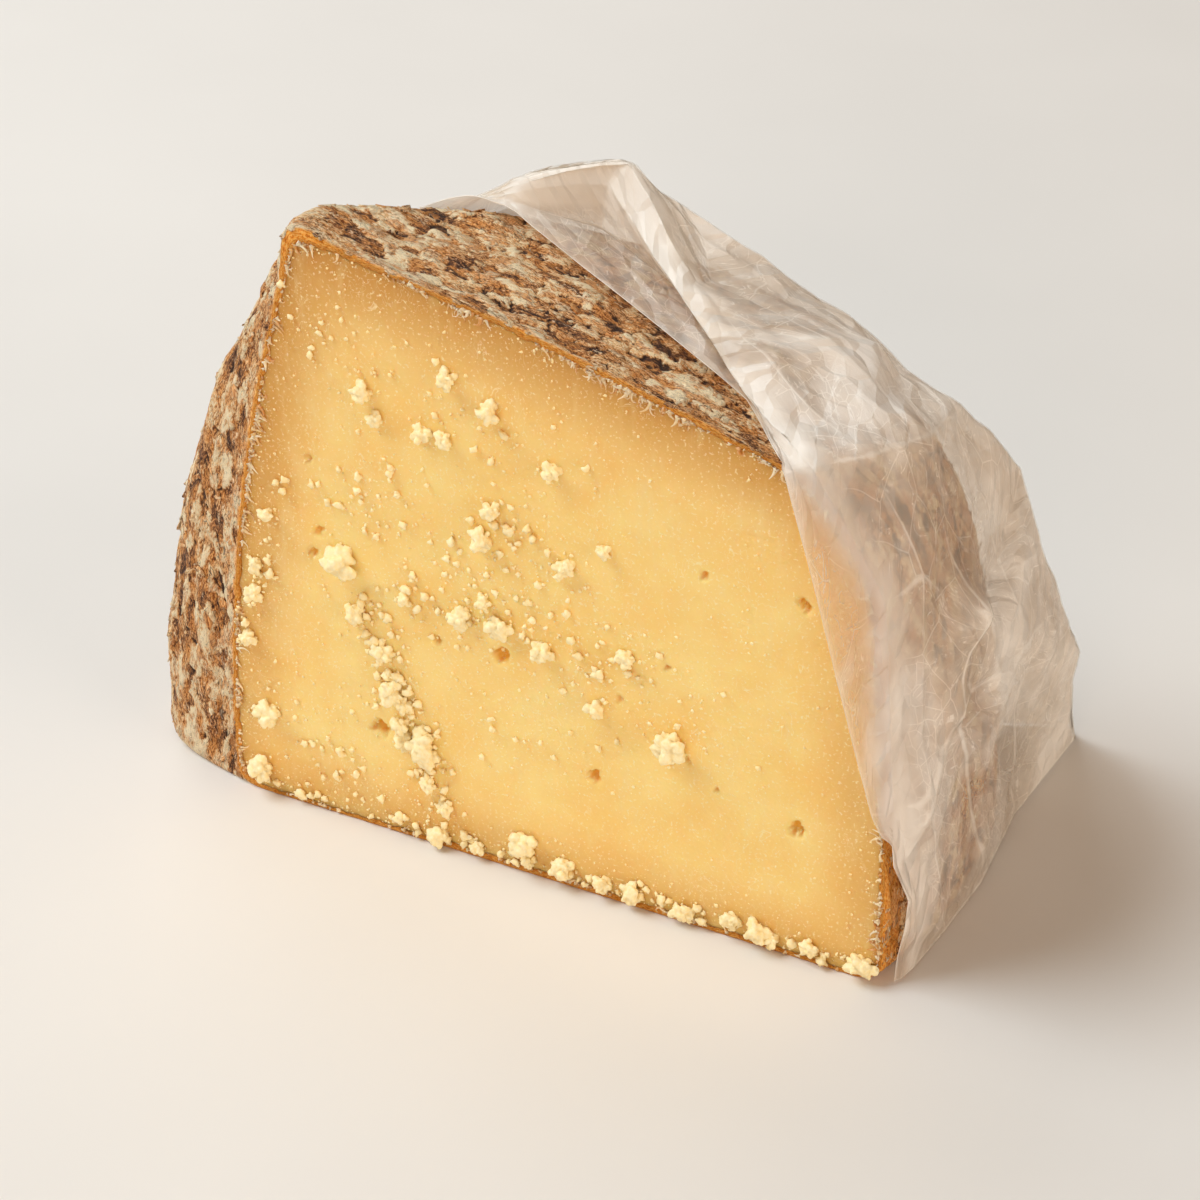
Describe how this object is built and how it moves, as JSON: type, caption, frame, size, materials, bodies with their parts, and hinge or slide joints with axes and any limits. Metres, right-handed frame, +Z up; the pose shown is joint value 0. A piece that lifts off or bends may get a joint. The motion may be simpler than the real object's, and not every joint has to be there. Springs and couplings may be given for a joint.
{
  "type": "hard cheese chunk",
  "caption": "Chunk of hard cheese with one flat cut face, barky rind and crumbs, its right end and back wrapped in a stiff sheet of waxed paper.",
  "frame": {"origin": "middle of the whole's box in plan, on the surface that the chunk stands on", "axes": "+X runs along the cut face from its high rind end to the wrapped low end, +Y runs from the cut face into the cheese, +Z is up"},
  "size_m": [0.145, 0.0803, 0.1115],
  "materials": {
    "paste": "waxy hard cheese, warm pale yellow with paler crumbs and a darker golden margin next to the rind",
    "rind": "dry barky rind, tan to dark brown with grey-white bloom",
    "paper": "thin translucent waxed paper with pale creases and a soft sheen"
  },
  "bodies": {
    "root": {"cheese": "paste", "wrapper": "paper"}
  },
  "joints": []
}
